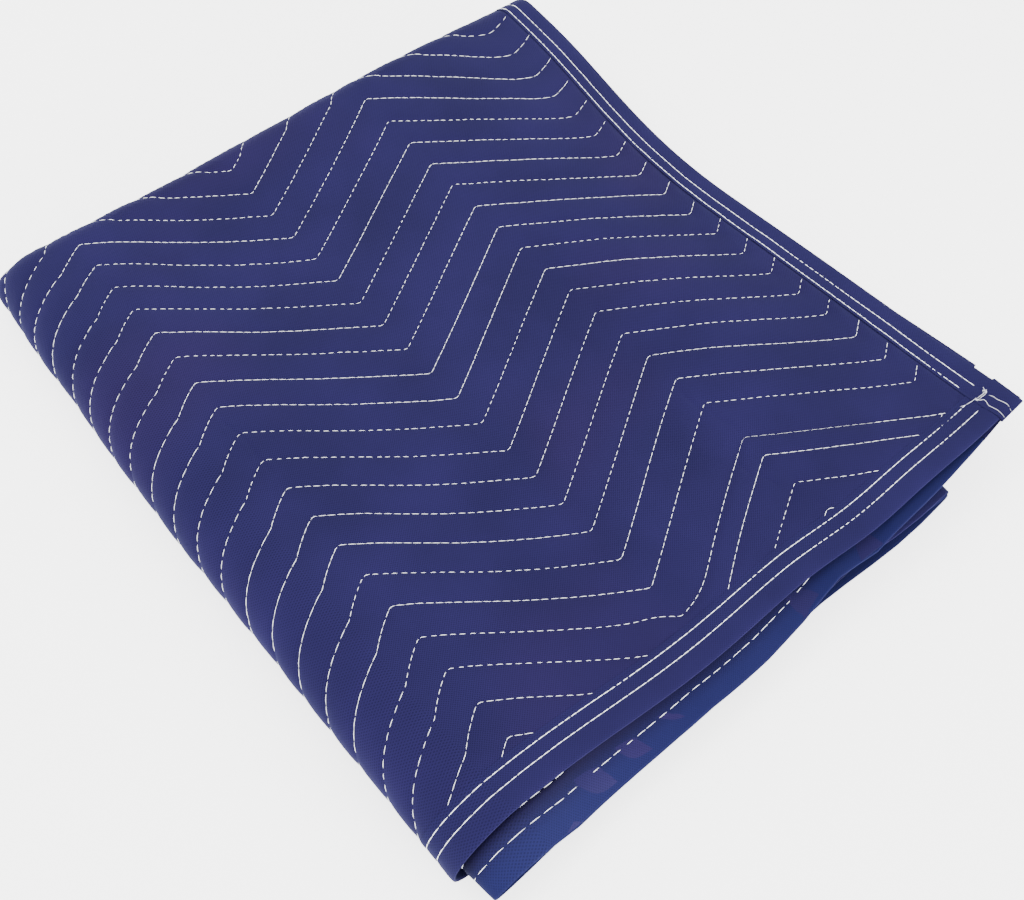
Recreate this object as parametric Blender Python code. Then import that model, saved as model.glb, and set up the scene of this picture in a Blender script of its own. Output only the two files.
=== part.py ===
"""A quilted moving blanket with bound edges, folded in four across its width and in four along its length.

The cloth is one slab. Every point of it has flat coordinates: across (from the edge that lies at the
right of the top ply) and along (from the edge that lies at its front). Four bends in turn, each in
half, take the flat coordinates to the folded ones, and a gentle unevenness is laid over the stack.
World axes: X to the right, Y to the back, Z up, origin at the middle of the footprint on the floor.
"""

import math

import bmesh
import bpy
from mathutils import Vector
from mathutils.geometry import delaunay_2d_cdt

INCH = 0.0254
MM = 0.001

# The flat blanket
FLAT_ACROSS = 72 * INCH
FLAT_ALONG = 80 * INCH
PLY = 1.7 * MM  # thickness of the quilted cloth
GAP = 0.3 * MM  # air between neighbouring plies, and between the cloth and its binding
PITCH = PLY + GAP

# The folded blanket
FOLDED_ACROSS = 18.5 * INCH
FOLDED_ALONG = 21.0 * INCH
EDGE_OVERHANG = 0.85 * INCH  # how far the second ply's hem reaches past the top ply's front edge

# The binding: a strip folded over each edge, with the cloth thinned inside it
BIND_WIDTH = 0.96 * INCH
BIND_CLOTH = 0.3 * MM
TONGUE = 0.5 * MM  # thickness of the cloth inside the binding
TONGUE_SLOPE = 1.2 * MM  # length over which the cloth thins
BIND_GAP = 0.3 * MM
HINGE = 18.5 * MM  # a line this far in from each edge, where a hem can bend

# The zigzag quilting
QUILT_SPACING = 1.0 * INCH  # from one seam to the next, along the blanket
QUILT_PERIOD = 9.6 * INCH  # from peak to peak, across the blanket
QUILT_RISE = 2.9 * INCH  # from peak to valley
QUILT_X = -6.72 * INCH  # a column of peaks
QUILT_Y = 13.46 * INCH  # the first seam's peak
QUILT_ROWS = 24
SEAM_DEPTH = 0.35 * MM
PUFF_HEIGHT = 0.65 * MM
PUFF_VARIATION = 0.3  # share by which the puffs differ
QUILT_MARGIN = 7 * MM  # plain cloth round the raised part

# Unevenness of the stack
CORNER_RISE = {"front left": 18 * MM, "front right": 14 * MM, "back left": 6 * MM, "back right": 14 * MM}
DISH_DEPTH = 8 * MM  # how far the middle of the top lies below the plane through the corners
FRONT_SAG = 12 * MM  # the same for the middle of the front
RIGHT_SAG = 10 * MM  # and of the right side
LEFT_SWELL = 4 * MM  # how far the middle of the left side lies above it
# Low hills and hollows on top of that: the middle of each, its reach each way, and its height
HILLS = [
    {"x": 5.0 * INCH, "y": -2.0 * INCH, "reach_x": 2.8 * INCH, "reach_y": 7.0 * INCH, "height": 8 * MM},
    {"x": -3.5 * INCH, "y": 7.0 * INCH, "reach_x": 2.7 * INCH, "reach_y": 3.5 * INCH, "height": -6 * MM},
    {"x": -4.0 * INCH, "y": -5.0 * INCH, "reach_x": 2.6 * INCH, "reach_y": 4.0 * INCH, "height": -3.5 * MM},
    {"x": 4.5 * INCH, "y": 10.0 * INCH, "reach_x": 3.0 * INCH, "reach_y": 2.5 * INCH, "height": 3.5 * MM},
]
PINCH_DEPTH = 0.32 * INCH  # the right edges are drawn in here
PINCH_Y = 3.2 * INCH
PINCH_LENGTH = 4.7 * INCH
FLARE = 20 * MM  # how far the edges at the back right stand out
FLARE_START, FLARE_END = 0.89, 0.95  # shares of the width
CORNER_TUCK = 8 * MM  # how far the back left corner is drawn in
LEFT_TILT = 10 * MM  # how far the left fold comes out at the front
LEFT_LEAN = 8 * MM  # how much further left the stack's foot lies than its top at the left fold
LEAN_LEVEL = 0.85  # share of the height that stays in place
# How far the left fold bows outward, by the share of the way from the front to the back
LEFT_BOW = [
    {"share": 0.0, "size": 0 * MM},
    {"share": 0.25, "size": 2 * MM},
    {"share": 0.5, "size": 2.6 * MM},
    {"share": 0.65, "size": 1 * MM},
    {"share": 0.77, "size": -2.6 * MM},
    {"share": 0.87, "size": 0 * MM},
    {"share": 1.0, "size": 0 * MM},
]
INNER_TUCK = 6 * MM  # how far the plies inside the outermost one are drawn in at the front left
BACK_SWELL_LEFT, BACK_SWELL_RIGHT = -6 * MM, 10 * MM  # how far the back fold stands out
# How the front right corner of each group of plies lies off that of the top ply, from the top down;
# above is the share of the stack's height over which the group lies
CORNERS = [
    {"above": 0.96, "left": 0.0, "forward": 0.0},
    {"above": 0.90, "left": 0.65 * INCH, "forward": 0.0},
    {"above": 0.84, "left": -0.2 * INCH, "forward": 0.0},
    {"above": 0.50, "left": 2.0 * INCH, "forward": 0.0},
    {"above": -1.0, "left": 2.05 * INCH, "forward": 7.5 * MM},
]
TOP_LEVEL, HALF_LEVEL = 0.96, 0.50  # shares of the stack's height
FRONT_RETREAT = 8 * MM  # how far the front edges in the middle of the stack lie back
RETREAT_LEVEL = 0.84  # share of the stack's height down from which they do
TOP_LIFT = 0.8 * MM  # how far the top ply lies off the others
TOP_BULGE = 5 * MM  # how far the top ply's front edge bulges forward here
BULGE_X = 3.2 * INCH
BULGE_REACH = 1.9 * INCH
HEM_DROP = 24 * MM  # how far the second ply's hem hangs down past the front edge
HEM_REACH, HEM_REACH_LEFT = 25 * MM, 18.5 * MM  # the hem hangs over this length
HEM_DROP_END = 9 * MM  # the hem hangs only where the skew cuts it back less than this
HEM_TUCK = 5 * MM  # how far the hem is drawn in at the left
WAVE_DEPTH = 2 * MM  # waviness of the front edges
WAVE_LENGTH = 9.0 * INCH
FOOTPRINT_SHIFT = Vector((-3.3, -5.5, 0)) * MM  # brings the footprint's middle to the origin
# How much shorter the far edge of the flat cloth is, by the share of the width
SKEW = [
    {"share": 0.0, "size": 20 * MM},
    {"share": 0.03, "size": 16 * MM},
    {"share": 0.08, "size": 7 * MM},
    {"share": 0.1, "size": 8.5 * MM},
    {"share": 0.12, "size": 5.4 * MM},
    {"share": 0.14, "size": 4.2 * MM},
    {"share": 0.17, "size": 4.4 * MM},
    {"share": 0.2, "size": 1.7 * MM},
    {"share": 0.225, "size": -0.5 * MM},
    {"share": 0.25, "size": 1 * MM},
    {"share": 0.5, "size": 20 * MM},
    {"share": 0.6, "size": 30 * MM},
    {"share": 0.75, "size": 30 * MM},
    {"share": 1.0, "size": 60 * MM},
]

# Mesh lines
PANEL_STEPS = 6
TIP_STEPS = 4

LEFT, RIGHT = -FOLDED_ACROSS / 2, FOLDED_ACROSS / 2
FRONT, BACK = -FOLDED_ALONG / 2, FOLDED_ALONG / 2
PLIES = 16
BOTTOM_MID = PLY / 2
TOP_MID = BOTTOM_MID + (PLIES - 1) * PITCH
WRAP = BIND_GAP + BIND_CLOTH  # how far the binding stands past the cloth's edge


def half_ellipse(wide, high):
    """Length of half an ellipse's outline, by Ramanujan's formula."""
    return math.pi / 2 * (3 * (wide + high) - math.sqrt((3 * wide + high) * (wide + 3 * high)))


class Fold:
    """A bend that turns the cloth past a line under the stack.

    layers is the number of plies that are bent, and reach is how far the softness of the bend
    carries even the innermost ply past the line.
    """

    def __init__(self, axis, side, layers, reach, steps):
        self.axis = axis
        self.side = side
        self.reach = reach
        self.steps = steps
        self.depth = layers * PITCH
        self.centre = TOP_MID + PITCH / 2 - self.depth
        self.length = half_ellipse(reach + self.depth / 2, self.depth / 2)
        self.line = 0.0

    def extent(self):
        """How far the outermost face reaches past the line."""
        return self.depth - GAP / 2 + self.reach

    def bend(self, point):
        past = self.side * (point[self.axis] - self.line)
        if past <= 0:
            return
        radius = point.z - self.centre
        angle = math.pi * min(past / self.length, 1.0)
        beyond = max(past - self.length, 0.0)
        out = (radius + self.reach) * math.sin(angle) - beyond
        point[self.axis] = self.line + self.side * out
        point.z = self.centre + radius * math.cos(angle)


FIRST = Fold(axis=1, side=1, layers=1, reach=2 * MM, steps=TIP_STEPS)
SECOND = Fold(axis=0, side=-1, layers=2, reach=3 * MM, steps=TIP_STEPS)
THIRD = Fold(axis=1, side=1, layers=4, reach=8 * MM, steps=6)
FOURTH = Fold(axis=0, side=-1, layers=8, reach=20 * MM, steps=8)

# Panels across: the top one, two equal ones, and the one under the top one
EDGE_X = RIGHT - WRAP
FOURTH.line = LEFT + FOURTH.extent()
TOP_ACROSS = EDGE_X - FOURTH.line
INNER_ACROSS = (FLAT_ACROSS - 2 * TOP_ACROSS - 2 * FOURTH.length - SECOND.length) / 2
SECOND.line = FOURTH.line - FOURTH.length - INNER_ACROSS

# Panels along, in the same way
EDGE_Y = FRONT + EDGE_OVERHANG
THIRD.line = BACK - THIRD.extent()
TOP_ALONG = THIRD.line - EDGE_Y
LAST_ALONG = THIRD.line - FRONT - WRAP
INNER_ALONG = (FLAT_ALONG - TOP_ALONG - LAST_ALONG - 2 * THIRD.length - FIRST.length) / 2
FIRST.line = THIRD.line + THIRD.length + INNER_ALONG


def stations(top, outer, inner, tip, last):
    """Places of the mesh lines from edge to edge, and for each strip between two the way it faces.

    Plies that lie on each other get their lines in the same places, and strips that face opposite
    ways are cut along opposite diagonals, so that their facets match.
    """
    thin, full = BIND_WIDTH + BIND_GAP, BIND_WIDTH + BIND_GAP + TONGUE_SLOPE
    rungs = [inner * n / PANEL_STEPS for n in range(1, PANEL_STEPS)]
    places, ways = [0.0, HINGE, thin, full], [1, 1, 1]

    def panel(stops, way):
        for stop in stops:
            places.append(stop)
            ways.append(way)

    def bend(fold, way):
        start = places[-1]
        panel([start + fold.length * n / fold.steps for n in range(1, fold.steps + 1)], way)

    panel([top - rung for rung in reversed(rungs)] + [top], 1)
    bend(outer, -1)
    start = places[-1]
    panel([start + rung for rung in rungs] + [start + inner], -1)
    bend(tip, 1)
    start = places[-1]
    panel([start + inner - rung for rung in reversed(rungs)] + [start + inner], 1)
    bend(outer, 1)
    start = places[-1]
    panel([start + rung for rung in rungs] + [start + last - full], -1)
    panel([start + last - thin, start + last - HINGE, start + last], -1)
    return places, ways


ACROSS, ACROSS_WAYS = stations(TOP_ACROSS, FOURTH, INNER_ACROSS, SECOND, TOP_ACROSS)
ALONG, ALONG_WAYS = stations(TOP_ALONG, THIRD, INNER_ALONG, FIRST, LAST_ALONG)
EDGE_LINES = 3  # mesh lines in the thinned part at each edge


def smooth(value):
    """Ease from 0 to 1 as value goes from 0 to 1."""
    value = min(max(value, 0.0), 1.0)
    return value * value * (3 - 2 * value)


def size_at(table, share):
    """The size that a table gives at a share, in a straight line between its rows."""
    for here, there in zip(table, table[1:]):
        if share <= there["share"]:
            mix = max(share - here["share"], 0.0) / (there["share"] - here["share"])
            return here["size"] + mix * (there["size"] - here["size"])
    return table[-1]["size"]


def unevenness(mid, outermost):
    """How far real cloth lies from the ideal fold at a point of a ply's middle surface.

    outermost says that the point is on the ply that goes round the others at the left.
    """
    level = (mid.z - BOTTOM_MID) / (TOP_MID - BOTTOM_MID)
    right = min(max((mid.x - LEFT) / FOLDED_ACROSS, 0.0), 1.0)
    back = min(max((mid.y - EDGE_Y) / (BACK - EDGE_Y), 0.0), 1.0)

    pinch = PINCH_DEPTH * right**3 * math.exp(-(((mid.y - PINCH_Y) / PINCH_LENGTH) ** 2))
    corner = smooth((right - 0.3) / 0.7) * (1 - smooth(back / 0.5))
    group = next(group for group in CORNERS if level > group["above"])
    inset, forward = group["left"] * corner, group["forward"] * corner
    if level > TOP_LEVEL:
        bulge = math.exp(-(((mid.x - BULGE_X) / BULGE_REACH) ** 2))
        forward += TOP_BULGE * bulge * (1 - smooth(back / 0.3))
    elif HALF_LEVEL < level < RETREAT_LEVEL:
        forward -= FRONT_RETREAT * smooth(3 * right) * (1 - smooth(back / 0.3))
    flare = FLARE * smooth((right - FLARE_START) / (FLARE_END - FLARE_START)) * smooth(2 * back - 1)
    tuck = CORNER_TUCK * (1 - right) ** 4 * smooth(4 * back - 3)
    drawn = 0.0 if outermost else INNER_TUCK * (1 - right) ** 2 * (1 - smooth(back / 0.4))
    bow = size_at(LEFT_BOW, back) * (1 - right) ** 3
    tilt = LEFT_TILT * (1 - right) ** 2 * (1 - back) ** 1.5
    lean = LEFT_LEAN * (1 - right) ** 8 * (level - LEAN_LEVEL)
    aside = flare + tuck + drawn + lean - bow - tilt - pinch - inset
    wave = WAVE_DEPTH * (1 - smooth(back)) * math.sin(2 * math.pi * mid.x / WAVE_LENGTH)
    swell = (BACK_SWELL_LEFT * (1 - right) + BACK_SWELL_RIGHT * right) * smooth((back - 0.85) / 0.15)
    backward = wave + swell - forward

    right += (drawn - pinch - inset) / FOLDED_ACROSS
    front_rise = CORNER_RISE["front left"] * (1 - right) + CORNER_RISE["front right"] * right
    back_rise = CORNER_RISE["back left"] * (1 - right) + CORNER_RISE["back right"] * right
    rise = front_rise * (1 - back) + back_rise * back
    mid_across, mid_along = 4 * right * (1 - right), 4 * back * (1 - back)
    rise -= mid_along * (DISH_DEPTH * mid_across + RIGHT_SAG * right**2 - LEFT_SWELL * (1 - right) ** 2)
    rise -= FRONT_SAG * mid_across * (1 - back) ** 2
    x, y = LEFT + right * FOLDED_ACROSS, EDGE_Y + back * (BACK - EDGE_Y)
    for hill in HILLS:
        away = ((x - hill["x"]) / hill["reach_x"]) ** 2 + ((y - hill["y"]) / hill["reach_y"]) ** 2
        rise += hill["height"] * math.exp(-away)
    lift = TOP_LIFT * smooth((level - TOP_LEVEL) / (1 - TOP_LEVEL))
    return Vector((aside, backward, level * max(rise, 0.0) + lift))


def folded(across, along, height):
    """A point of the cloth after the four bends; height is counted from the ply's middle."""
    point = Vector((EDGE_X - across, EDGE_Y + along, TOP_MID + height))
    for fold in (FIRST, SECOND, THIRD, FOURTH):
        fold.bend(point)
    return point


SKEW_START, SKEW_FULL = ALONG[-EDGE_LINES - 2], ALONG[-EDGE_LINES - 1]
OUTER_ACROSS = TOP_ACROSS + FOURTH.length + INNER_ACROSS + SECOND.length / 2
OUTER_ALONG = TOP_ALONG + THIRD.length / 2


def place(across, along, height):
    """The final place of a point of the flat cloth."""
    skew = min(max((along - SKEW_START) / (SKEW_FULL - SKEW_START), 0.0), 1.0)
    cut = size_at(SKEW, across / FLAT_ACROSS)
    inward = ALONG[-1] - along
    mid = folded(across, along - skew * cut, 0.0)
    outermost = across < OUTER_ACROSS and along < OUTER_ALONG
    right = min(max((mid.x - LEFT) / FOLDED_ACROSS, 0.0), 1.0)
    reach = HEM_REACH_LEFT + (HEM_REACH - HEM_REACH_LEFT) * smooth(3 * right)
    hem = max(1 - inward / reach, 0.0) * max(1 - cut / HEM_DROP_END, 0.0)
    tuck = HEM_TUCK * hem * (1 - right) ** 2
    drop = HEM_DROP * hem * (mid.z - BOTTOM_MID) / (TOP_MID - BOTTOM_MID)
    point = folded(across, along - skew * cut, height)
    return point + unevenness(mid, outermost) + Vector((tuck, 0, -drop)) + FOOTPRINT_SHIFT


def add_quad(mesh, corners, way):
    """Two triangles, cut along the diagonal that way asks for."""
    a, b, c, d = corners
    if way > 0:
        triangles = ((a, b, c), (a, c, d))
    else:
        triangles = ((a, b, d), (b, c, d))
    for triangle in triangles:
        mesh.faces.new(triangle)


def quilt_row_height(row, x):
    """Height of the raised quilting on a row: seams on whole rows, puffs half way between."""
    if row % 1 == 0:
        return -SEAM_DEPTH
    return PUFF_HEIGHT * (1 + PUFF_VARIATION * math.sin(2.1 * row + x / (1.9 * INCH)))


def quilt_rows():
    """The raised quilting of the top ply: for each row, its points as (across, along, height)."""
    low_x = FOURTH.line + QUILT_MARGIN
    high_x = EDGE_X - ACROSS[EDGE_LINES] - QUILT_MARGIN
    low_y = EDGE_Y + ALONG[EDGE_LINES] + QUILT_MARGIN
    high_y = THIRD.line - QUILT_MARGIN
    step = QUILT_PERIOD / 4
    first = math.ceil((low_x - QUILT_X) / step)
    last = math.floor((high_x - QUILT_X) / step)
    knots = [low_x] + [QUILT_X + step * n for n in range(first, last + 1)] + [high_x]
    rows = []
    for half_row in range(2 * QUILT_ROWS):
        row = half_row / 2

        def seam_y(x):
            turn = ((x - QUILT_X) / QUILT_PERIOD) % 1
            return QUILT_Y - row * QUILT_SPACING - QUILT_RISE * (1 - abs(1 - 2 * turn))

        run = []
        for x0, x1 in zip(knots, knots[1:]):
            y0, y1 = seam_y(x0), seam_y(x1)
            ends = [0.0, 1.0]
            for bound in (low_y, high_y):
                if (y0 - bound) * (y1 - bound) < 0:
                    ends.append((bound - y0) / (y1 - y0))
            inside = [e for e in sorted(ends) if low_y - GAP < y0 + e * (y1 - y0) < high_y + GAP]
            if len(inside) < 2:
                continue
            for end in (inside[0], inside[-1]):
                x, y = x0 + end * (x1 - x0), y0 + end * (y1 - y0)
                spot = (EDGE_X - x, y - EDGE_Y, quilt_row_height(row, x))
                if not run or (run[-1][0] - spot[0]) > GAP:
                    run.append(spot)
        if len(run) > 1:
            rows.append(run)
    return rows


def add_quilting(mesh, top, across_last, along_last):
    """Fill the top ply's face with zigzag seams and puffs, inside the grid's own border points."""
    lo = EDGE_LINES
    border = [(i, lo) for i in range(lo, across_last)]
    border += [(across_last, j) for j in range(lo, along_last)]
    border += [(i, along_last) for i in range(across_last, lo, -1)]
    border += [(lo, j) for j in range(along_last, lo, -1)]
    spots = [Vector((ACROSS[i], ALONG[j])) for i, j in border]
    corners = [top[i][j] for i, j in border]
    edges = [(n, (n + 1) % len(border)) for n in range(len(border))]
    for run in quilt_rows():
        start = len(spots)
        for across, along, height in run:
            spots.append(Vector((across, along)))
            corners.append(mesh.verts.new(place(across, along, PLY / 2 + height)))
        edges += [(n, n + 1) for n in range(start, len(spots) - 1)]
    _, _, faces, origins, _, _ = delaunay_2d_cdt(spots, edges, [], 0, 1e-7)
    for face in faces:
        mesh.faces.new([corners[origins[n][0]] for n in face])


def finish(mesh, name, material):
    """Turn the built mesh into a named object with its faces pointing out."""
    bmesh.ops.recalc_face_normals(mesh, faces=mesh.faces)
    data = bpy.data.meshes.new(name)
    mesh.to_mesh(data)
    mesh.free()
    data.materials.append(material)
    data.shade_smooth()
    data.set_sharp_from_angle(angle=math.radians(40))
    thing = bpy.data.objects.new(name, data)
    bpy.context.scene.collection.objects.link(thing)
    return thing


def fabric(name, colour, roughness):
    material = bpy.data.materials.new(name)
    material.use_nodes = True
    shader = material.node_tree.nodes["Principled BSDF"]
    shader.inputs["Base Color"].default_value = (*colour, 1)
    shader.inputs["Roughness"].default_value = roughness
    shader.inputs["Metallic"].default_value = 0.0
    return material


def make_quilt(material):
    """The cloth: two faces on one grid, joined at the edges, with the top ply's face quilted."""
    mesh = bmesh.new()
    rows, columns = len(ACROSS), len(ALONG)
    thin_across = {*range(EDGE_LINES), *range(rows - EDGE_LINES, rows)}
    thin_along = {*range(EDGE_LINES), *range(columns - EDGE_LINES, columns)}

    def face_points(side):
        grid = []
        for i, across in enumerate(ACROSS):
            line = []
            for j, along in enumerate(ALONG):
                thin = i in thin_across or j in thin_along
                half = (TONGUE if thin else PLY) / 2
                line.append(mesh.verts.new(place(across, along, side * half)))
            grid.append(line)
        return grid

    top, bottom = face_points(1), face_points(-1)
    across_last = EDGE_LINES + PANEL_STEPS
    along_last = EDGE_LINES + PANEL_STEPS
    for i in range(rows - 1):
        for j in range(columns - 1):
            way = ACROSS_WAYS[i] * ALONG_WAYS[j]
            for grid in (top, bottom):
                quilted = EDGE_LINES <= i < across_last and EDGE_LINES <= j < along_last
                if grid is bottom or not quilted:
                    add_quad(mesh, (grid[i][j], grid[i + 1][j], grid[i + 1][j + 1], grid[i][j + 1]), way)
    add_quilting(mesh, top, across_last, along_last)
    rim = [(i, 0) for i in range(rows - 1)] + [(rows - 1, j) for j in range(columns - 1)]
    rim += [(i, columns - 1) for i in range(rows - 1, 0, -1)] + [(0, j) for j in range(columns - 1, 0, -1)]
    for (i, j), (k, m) in zip(rim, rim[1:] + rim[:1]):
        add_quad(mesh, (top[i][j], top[k][m], bottom[k][m], bottom[i][j]), 1)
    return finish(mesh, "quilted_cloth", material)


def binding_section():
    """The binding's outline as (inward from the cloth's edge, height from the ply's middle)."""
    outer, inner = PLY / 2, PLY / 2 - BIND_CLOTH
    upper = [(HINGE, inner), (BIND_WIDTH, inner), (BIND_WIDTH, outer), (HINGE, outer)]
    upper += [(-BIND_GAP, outer), (-WRAP, inner)]
    lower = [(inward, -height) for inward, height in reversed(upper)]
    return upper + lower + [(-BIND_GAP, -inner), (-BIND_GAP, inner)]


def make_binding(name, material, stops, ways, spot):
    """A strip along one edge. spot turns a stop and an inward distance into flat coordinates."""
    mesh = bmesh.new()
    section = binding_section()
    rings = []
    for stop in stops:
        rings.append([mesh.verts.new(place(*spot(stop, inward), height)) for inward, height in section])
    for ring, following, way in zip(rings, rings[1:], ways):
        for n in range(len(section)):
            m = (n + 1) % len(section)
            inwards = section[m][0] >= section[n][0]
            add_quad(mesh, (ring[n], ring[m], following[m], following[n]), way if inwards else -way)
    for ring in (rings[0], rings[-1]):
        mesh.faces.new(ring)
    return finish(mesh, name, material)


def main():
    for thing in list(bpy.data.objects):
        bpy.data.objects.remove(thing)
    cloth = fabric("quilted cloth", (0.030, 0.036, 0.155), 0.9)
    tape = fabric("binding", (0.034, 0.042, 0.175), 0.85)
    make_quilt(cloth)
    whole = [-WRAP] + ALONG[1:-1] + [ALONG[-1] + WRAP]
    between = ACROSS[2:-2]
    edges = {
        "right_top": (whole, ALONG_WAYS, lambda stop, inward: (inward, stop)),
        "right_inner": (whole, ALONG_WAYS, lambda stop, inward: (ACROSS[-1] - inward, stop)),
        "front_top": (between, ACROSS_WAYS[2:-2], lambda stop, inward: (stop, inward)),
        "front_inner": (between, ACROSS_WAYS[2:-2], lambda stop, inward: (stop, ALONG[-1] - inward)),
    }
    for edge, (stops, ways, spot) in edges.items():
        make_binding("binding_" + edge, tape, stops, ways, spot)


main()
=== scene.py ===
"""The looks of a quilted moving blanket with bound edges, folded in four both ways.

Everything on the blanket is laid out on the flat cloth: across, from the edge that lies at the right
of the top ply, and along, from the edge that lies at its front. Four bends in turn, the same as in
the solids, take it to the folded shape, so seams, puffs, creases, tape and stitches follow the cloth
round its folds. World axes: X to the right, Y to the back, Z up.
"""

import math

import bpy
import numpy as np
from mathutils import Matrix, Vector


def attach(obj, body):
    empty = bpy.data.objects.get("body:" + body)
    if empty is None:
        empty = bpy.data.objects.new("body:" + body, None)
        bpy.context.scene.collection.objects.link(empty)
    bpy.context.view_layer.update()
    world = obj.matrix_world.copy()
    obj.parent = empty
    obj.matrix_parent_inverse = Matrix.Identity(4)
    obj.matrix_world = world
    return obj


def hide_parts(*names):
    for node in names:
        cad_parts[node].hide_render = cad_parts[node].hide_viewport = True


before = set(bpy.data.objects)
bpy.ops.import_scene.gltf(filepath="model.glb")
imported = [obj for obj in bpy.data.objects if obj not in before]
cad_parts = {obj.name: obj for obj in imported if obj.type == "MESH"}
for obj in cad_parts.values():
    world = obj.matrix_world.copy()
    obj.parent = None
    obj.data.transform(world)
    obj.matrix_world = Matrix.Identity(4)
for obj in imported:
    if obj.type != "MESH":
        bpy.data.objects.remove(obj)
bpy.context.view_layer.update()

INCH = 0.0254
MM = 0.001

# ---------------------------------------------------------------- sizes shared with the solids

FLAT_ACROSS = 72 * INCH
FLAT_ALONG = 80 * INCH
PLY = 1.7 * MM
GAP = 0.3 * MM
PITCH = PLY + GAP
PLIES = 16
FOLDED_ACROSS = 18.5 * INCH
FOLDED_ALONG = 21.0 * INCH
EDGE_OVERHANG = 0.85 * INCH

BIND_WIDTH = 0.96 * INCH
BIND_CLOTH = 0.3 * MM
BIND_GAP = 0.3 * MM
WRAP = BIND_GAP + BIND_CLOTH
HINGE = 18.5 * MM  # a mesh line lies this far from each edge, as the lower hem bends there
TONGUE = 0.5 * MM  # thickness of the cloth inside the binding
TONGUE_SLOPE = 1.2 * MM
THIN_END = BIND_WIDTH + BIND_GAP
FULL_START = THIN_END + TONGUE_SLOPE

QUILT_SPACING = 1.0 * INCH
QUILT_PERIOD = 9.6 * INCH
QUILT_RISE = 2.9 * INCH
QUILT_X = -6.72 * INCH
QUILT_Y = 13.46 * INCH

CORNER_RISE = {"front left": 18 * MM, "front right": 14 * MM, "back left": 6 * MM, "back right": 14 * MM}
DISH_DEPTH = 8 * MM
FRONT_SAG = 12 * MM
RIGHT_SAG = 10 * MM
LEFT_SWELL = 4 * MM
# Low hills and hollows; middle and reach are given in X and Y
HILLS = [
    {"middle": (5.0 * INCH, -2.0 * INCH), "reach": (2.8 * INCH, 7.0 * INCH), "height": 8 * MM},
    {"middle": (-3.5 * INCH, 7.0 * INCH), "reach": (2.7 * INCH, 3.5 * INCH), "height": -6 * MM},
    {"middle": (-4.0 * INCH, -5.0 * INCH), "reach": (2.6 * INCH, 4.0 * INCH), "height": -3.5 * MM},
    {"middle": (4.5 * INCH, 10.0 * INCH), "reach": (3.0 * INCH, 2.5 * INCH), "height": 3.5 * MM},
]
PINCH_DEPTH = 0.32 * INCH
PINCH_Y = 3.2 * INCH
PINCH_LENGTH = 4.7 * INCH
FLARE = 20 * MM
FLARE_START, FLARE_END = 0.89, 0.95
CORNER_TUCK = 8 * MM
LEFT_TILT = 10 * MM
LEFT_LEAN = 8 * MM
LEAN_LEVEL = 0.85
BOW_BACK = [0.0, 0.25, 0.5, 0.65, 0.77, 0.87, 1.0]  # shares of the way from the front to the back
BOW_OUT = [out * MM for out in (0, 2, 2.6, 1, -2.6, 0, 0)]
INNER_TUCK = 6 * MM  # by which the plies inside the outermost are drawn in at the front left
BACK_SWELL_LEFT, BACK_SWELL_RIGHT = -6 * MM, 10 * MM
# How the front right corner of each group of plies lies off that of the top ply, from the top down;
# above is the share of the stack's height over which the group lies
CORNERS = [
    {"above": 0.96, "left": 0.0, "forward": 0.0},
    {"above": 0.90, "left": 0.65 * INCH, "forward": 0.0},
    {"above": 0.84, "left": -0.35 * INCH, "forward": 0.0},
    {"above": 0.50, "left": 2.0 * INCH, "forward": 0.0},
    {"above": -1.0, "left": 2.05 * INCH, "forward": 7.5 * MM},
]
TOP_LEVEL, HALF_LEVEL = 0.96, 0.50
FRONT_RETREAT = 8 * MM
RETREAT_LEVEL = 0.84
TOP_LIFT = 0.8 * MM
TOP_BULGE = 5 * MM
BULGE_X = 3.2 * INCH
BULGE_REACH = 1.9 * INCH
HEM_DROP = 24 * MM
HEM_REACH, HEM_REACH_LEFT = 25 * MM, 18.5 * MM
HEM_DROP_END = 9 * MM
HEM_TUCK = 5 * MM
LEFT_THIRD = 1 / 3  # share of the way right over which the left side's own shape fades
WAVE_DEPTH = 2 * MM
WAVE_LENGTH = 9.0 * INCH
FOOTPRINT_SHIFT = (-3.3 * MM, -5.5 * MM, 0.0)
SKEW_ACROSS = [0.0, 0.03, 0.08, 0.1, 0.12, 0.14, 0.17, 0.2, 0.225, 0.25, 0.5, 0.6, 0.75, 1.0]
SKEW_CUT = [cut * MM for cut in (20, 16, 7, 8.5, 5.4, 4.2, 4.4, 1.7, -0.5, 1, 20, 30, 30, 60)]
SKEW_REACH = 75 * MM  # length of cloth in which the skew is taken up

LEFT, RIGHT = -FOLDED_ACROSS / 2, FOLDED_ACROSS / 2
FRONT, BACK = -FOLDED_ALONG / 2, FOLDED_ALONG / 2
BOTTOM_MID = PLY / 2
TOP_MID = BOTTOM_MID + (PLIES - 1) * PITCH

# ---------------------------------------------------------------- sizes of the looks

# A soft noise has a size, the spacing of its values (across, and then along or in rows) and a seed

SEAM_DEPTH = 0.45 * MM
PUFF_HEIGHT = 0.75 * MM
PUFF_VARIATION = [{"size": 0.35, "every": (60 * MM, 1 / 1.3), "seed": 5}]
GATHERS = [
    {"size": 0.16 * MM, "every": (4.2 * MM, 0.5), "seed": 7},
    {"size": 0.22 * MM, "every": (11 * MM, 1 / 1.6), "seed": 8},
]
GATHER_REACH = 0.35  # where 1 is half way to the next seam
PADDING = [
    {"size": 0.7 * MM, "every": (85 * MM, 70 * MM), "seed": 11},
    {"size": 0.3 * MM, "every": (28 * MM, 33 * MM), "seed": 12},
]
PRESSED_LEVEL, PRESSED_SHARE = 1.2 * MM, 0.6  # underneath, only what lies under this level stays, flatter
RELIEF_MARGIN = 4 * MM  # the relief fades to nothing over this much next to the tape
RELIEF_END = 12 * MM  # and over this much under the pile

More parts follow.
